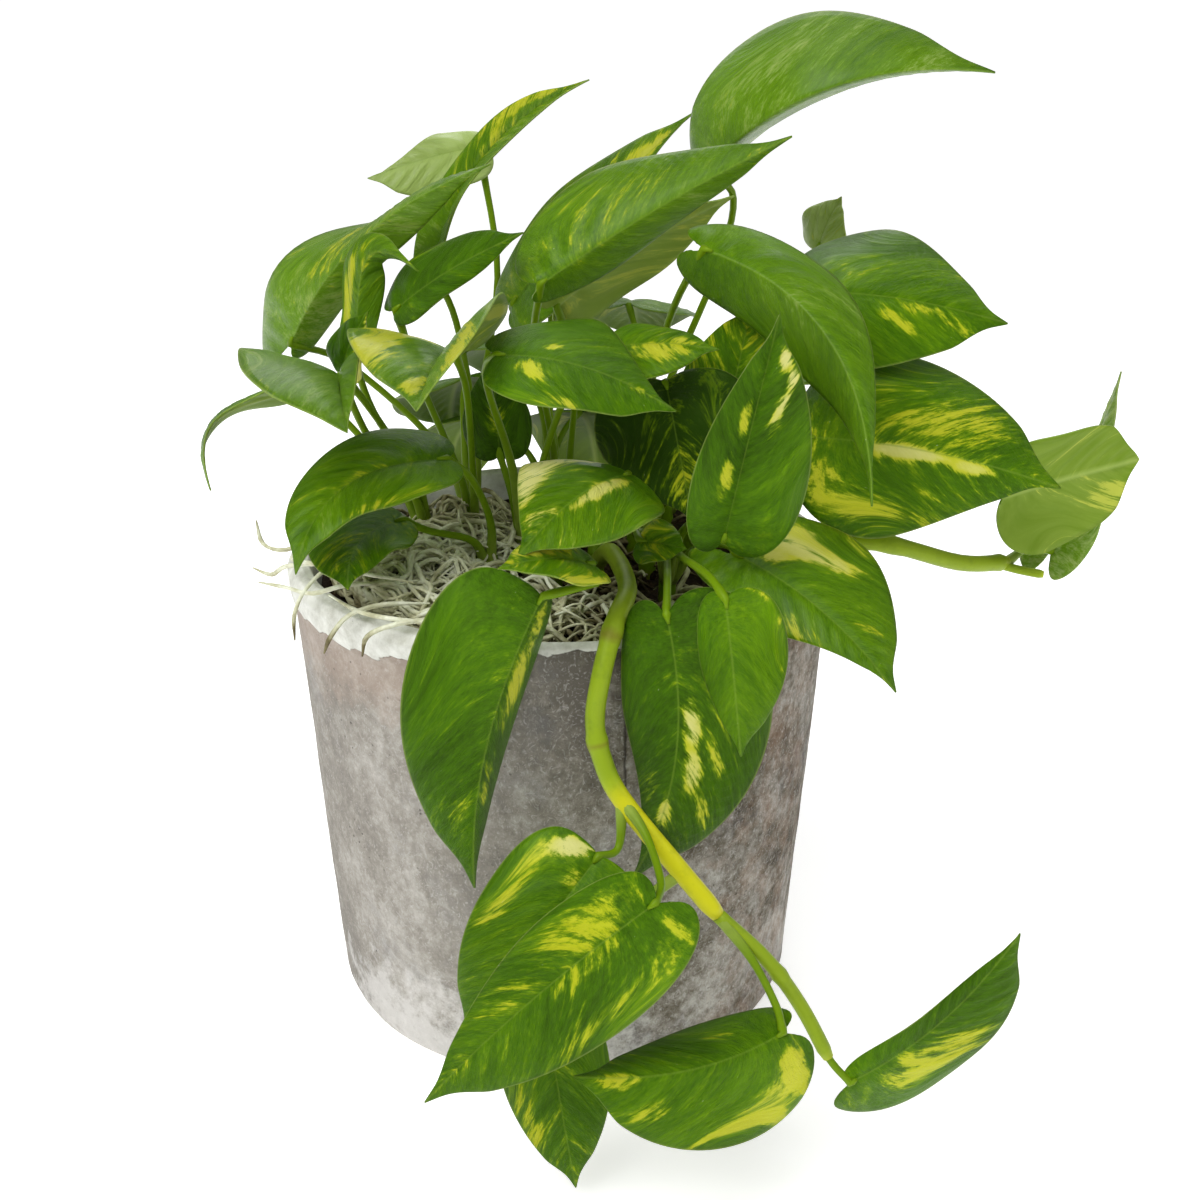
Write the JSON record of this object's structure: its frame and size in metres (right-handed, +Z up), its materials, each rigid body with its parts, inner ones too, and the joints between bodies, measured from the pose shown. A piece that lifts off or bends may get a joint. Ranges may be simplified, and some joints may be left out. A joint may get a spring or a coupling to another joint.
{
  "type": "potted pothos plant",
  "caption": "Golden pothos with heart-shaped, yellow-marbled leaves on upright and trailing stems, in soil under curly dried moss in a round, slightly tapered, aged cement pot with a pale rim.",
  "frame": {"origin": "centre of the pot's flat underside, on the surface it stands on", "axes": "+Z up, -Y towards the viewer of the reference picture, +X to that viewer's right"},
  "size_m": [0.3161, 0.2817, 0.3435],
  "materials": {
    "aged_cement": "matte",
    "soil": "matte",
    "dried_moss": "matte",
    "dark_leaf": "satin",
    "bright_leaf": "satin",
    "marbled_leaf": "satin"
  },
  "bodies": {
    "root": {"pot": "aged_cement", "soil": "soil", "moss": "dried_moss", "front_trailing_stem": "marbled_leaf", "front_left_stem": "dark_leaf", "low_left_stem": "dark_leaf", "far_left_stem": "dark_leaf", "upper_left_stem": "marbled_leaf", "back_left_stem": "bright_leaf", "centre_stem": "dark_leaf", "tall_centre_stem": "bright_leaf", "tall_right_stem": "bright_leaf", "right_stem": "marbled_leaf", "right_trailing_stem": "bright_leaf", "front_right_stem": "bright_leaf", "inner_stem": "dark_leaf", "back_centre_stem": "dark_leaf", "back_right_stem": "bright_leaf"}
  },
  "joints": []
}
